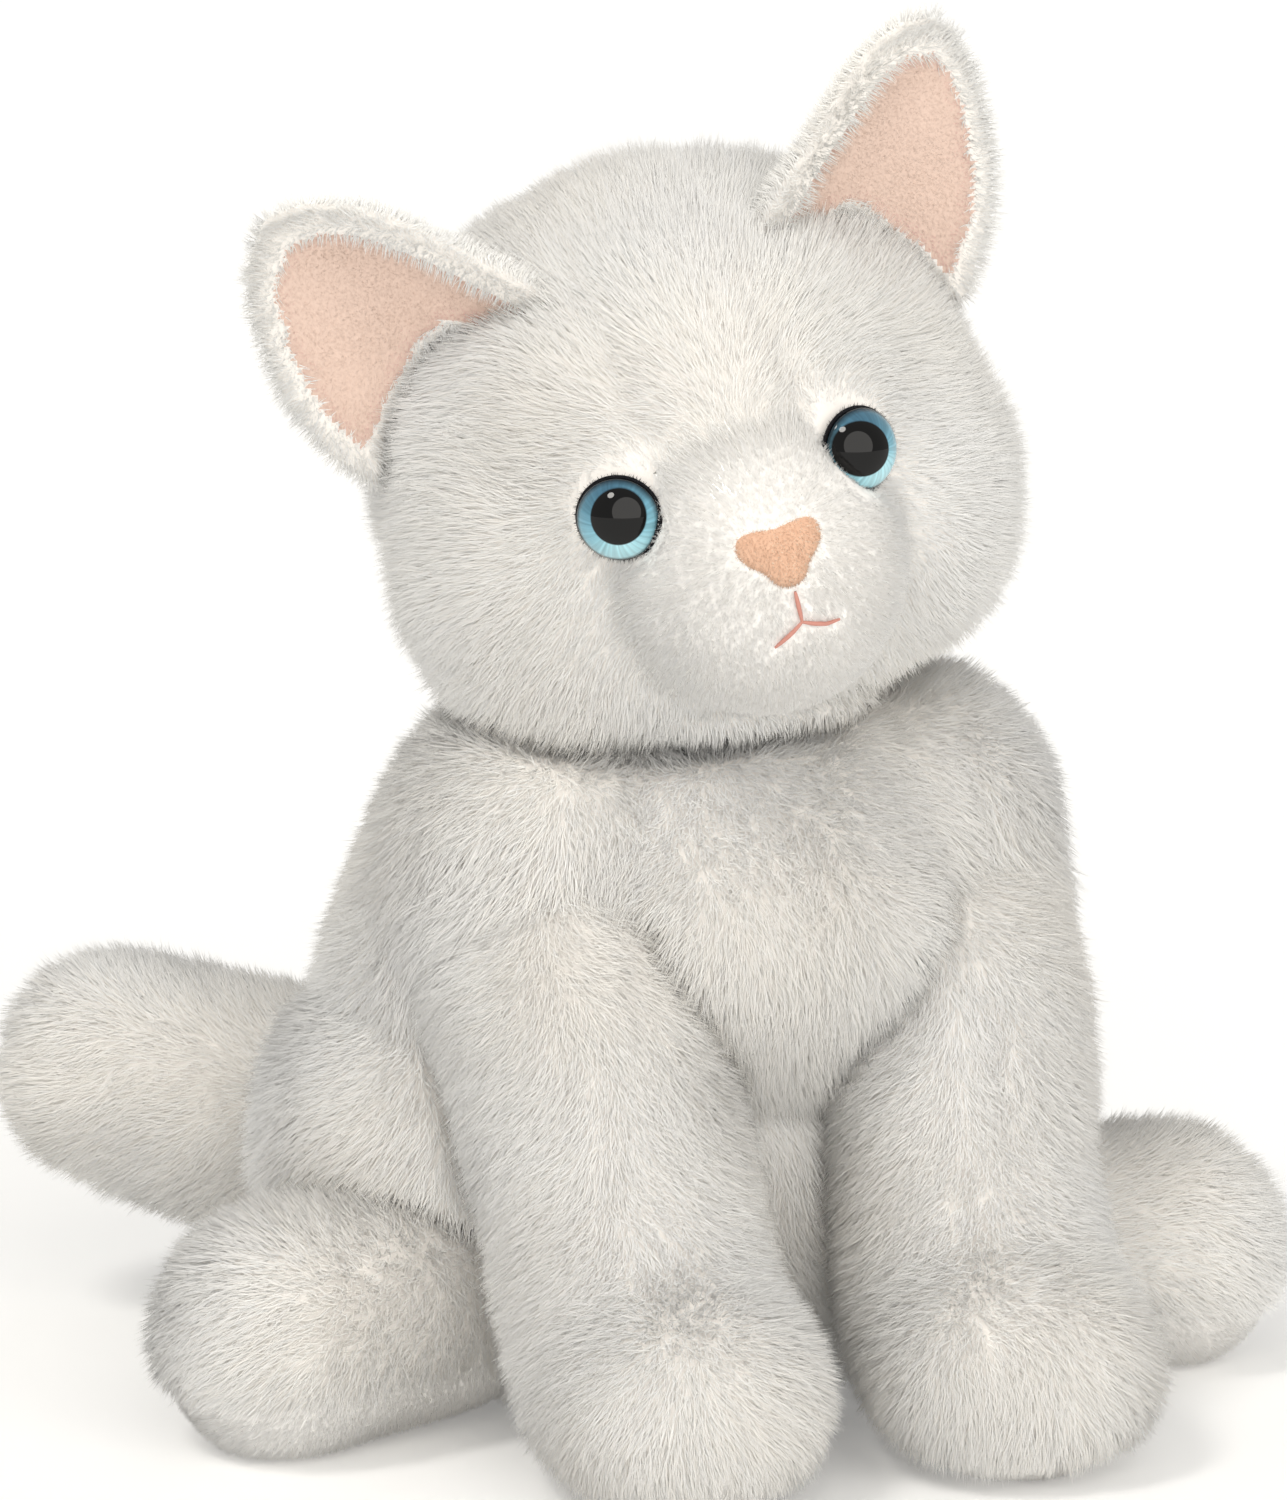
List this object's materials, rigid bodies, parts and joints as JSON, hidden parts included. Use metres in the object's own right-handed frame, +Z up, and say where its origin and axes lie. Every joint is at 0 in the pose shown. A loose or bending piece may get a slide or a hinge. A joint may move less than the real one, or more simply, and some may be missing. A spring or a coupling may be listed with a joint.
{
  "type": "plush cat",
  "caption": "Sitting stuffed toy cat with a tilted head, upright ears, straight front legs, splayed hind feet and a thick tail, sewn from long-pile fabric.",
  "frame": {"origin": "middle of the flat seat face that the cat sits on", "axes": "+Z up, the cat faces -Y, its left side is +X"},
  "size_m": [0.2247, 0.2041, 0.2635],
  "materials": {
    "white_pile": "soft white plush pile, 6 to 9 mm, with warm creases",
    "short_pile": "short white pile with a faint sparkle",
    "ear_velour": "pink velour",
    "nose_velour": "peach velour with a fine sparkle",
    "mouth_thread": "twisted pink embroidery thread",
    "eye_lens": "clear polished dome",
    "eye_iris": "pearly light blue paint behind the dome",
    "eye_black": "black moulded plastic",
    "eye_washer": "white locking washer",
    "eye_felt": "black felt",
    "stuffing": "polyester fibre fill",
    "pouch_cloth": "plain woven cotton",
    "pellet_fill": "loose polyethylene pellets"
  },
  "bodies": {
    "torso": {"chest_panel": "white_pile", "belly_panel": "white_pile", "back_left_panel": "white_pile", "back_right_panel": "white_pile", "haunch_left_panel": "white_pile", "haunch_right_panel": "white_pile", "seat_panel": "white_pile", "torso_stuffing": "stuffing", "haunch_left_stuffing": "stuffing", "haunch_right_stuffing": "stuffing", "pellet_pouch": "pouch_cloth", "pellets": "pellet_fill"},
    "neck": {"neck_stuffing": "stuffing"},
    "head": {"head_side_left": "white_pile", "head_side_right": "white_pile", "head_gusset": "white_pile", "chin_panel": "white_pile", "muzzle_panel": "short_pile", "head_stuffing": "stuffing", "muzzle_stuffing": "stuffing", "nose_patch": "nose_velour", "mouth_stitches": "mouth_thread", "eye_left_lens": "eye_lens", "eye_left_iris": "eye_iris", "eye_left_pupil": "eye_black", "eye_left_stem": "eye_black", "eye_left_washer": "eye_washer", "eye_left_surround": "eye_felt", "eye_right_lens": "eye_lens", "eye_right_iris": "eye_iris", "eye_right_pupil": "eye_black", "eye_right_stem": "eye_black", "eye_right_washer": "eye_washer", "eye_right_surround": "eye_felt"},
    "ear_left": {"ear_left_back": "white_pile", "ear_left_lining": "ear_velour"},
    "ear_right": {"ear_right_back": "white_pile", "ear_right_lining": "ear_velour"},
    "front_leg_left": {"front_leg_left_outer": "white_pile", "front_leg_left_inner": "white_pile", "front_leg_left_sole": "short_pile", "front_leg_left_stuffing": "stuffing"},
    "front_leg_right": {"front_leg_right_outer": "white_pile", "front_leg_right_inner": "white_pile", "front_leg_right_sole": "short_pile", "front_leg_right_stuffing": "stuffing"},
    "hind_leg_left": {"hind_leg_left_upper": "white_pile", "hind_leg_left_lower": "white_pile", "hind_leg_left_stuffing": "stuffing"},
    "hind_leg_right": {"hind_leg_right_upper": "white_pile", "hind_leg_right_lower": "white_pile", "hind_leg_right_stuffing": "stuffing"},
    "tail": {"tail_upper": "white_pile", "tail_lower": "white_pile", "tail_stuffing": "stuffing"}
  },
  "joints": [
    {"name": "head_turn", "type": "hinge", "parent": "torso", "child": "neck", "pos_m": [-0.006, -0.004, 0.14], "axis": [0, 0, 1], "range_deg": [-30, 30], "stiffness_Nm_per_rad": 0.6},
    {"name": "head_nod", "type": "hinge", "parent": "neck", "child": "head", "pos_m": [-0.006, -0.004, 0.14], "axis": [1, 0, 0], "range_deg": [-6, 5], "stiffness_Nm_per_rad": 3},
    {"name": "front_leg_left_splay", "type": "hinge", "parent": "torso", "child": "front_leg_left", "pos_m": [0.037, -0.012, 0.098], "axis": [0, -1, 0], "range_deg": [0, 12], "stiffness_Nm_per_rad": 0.15},
    {"name": "front_leg_right_splay", "type": "hinge", "parent": "torso", "child": "front_leg_right", "pos_m": [-0.037, -0.012, 0.098], "axis": [0, 1, 0], "range_deg": [0, 12], "stiffness_Nm_per_rad": 0.15},
    {"name": "hind_leg_left_swing", "type": "hinge", "parent": "torso", "child": "hind_leg_left", "pos_m": [0.056, -0.004, 0.023], "axis": [0, 0, -1], "range_deg": [-10, 15], "stiffness_Nm_per_rad": 0.15},
    {"name": "hind_leg_right_swing", "type": "hinge", "parent": "torso", "child": "hind_leg_right", "pos_m": [-0.056, -0.004, 0.023], "axis": [0, 0, 1], "range_deg": [-10, 15], "stiffness_Nm_per_rad": 0.15},
    {"name": "tail_swing", "type": "hinge", "parent": "torso", "child": "tail", "pos_m": [-0.012, 0.054, 0.034], "axis": [0, 0, 1], "range_deg": [-60, 10], "stiffness_Nm_per_rad": 0.15},
    {"name": "ear_left_fold", "type": "hinge", "parent": "head", "child": "ear_left", "pos_m": [0.01815, -0.02258, 0.22434], "axis": [0.8646, 0.4016, -0.3019], "range_deg": [-20, 15], "stiffness_Nm_per_rad": 0.05},
    {"name": "ear_right_fold", "type": "hinge", "parent": "head", "child": "ear_right", "pos_m": [-0.05619, -0.01147, 0.2035], "axis": [0.4433, -0.5971, 0.6686], "range_deg": [-20, 15], "stiffness_Nm_per_rad": 0.05}
  ]
}
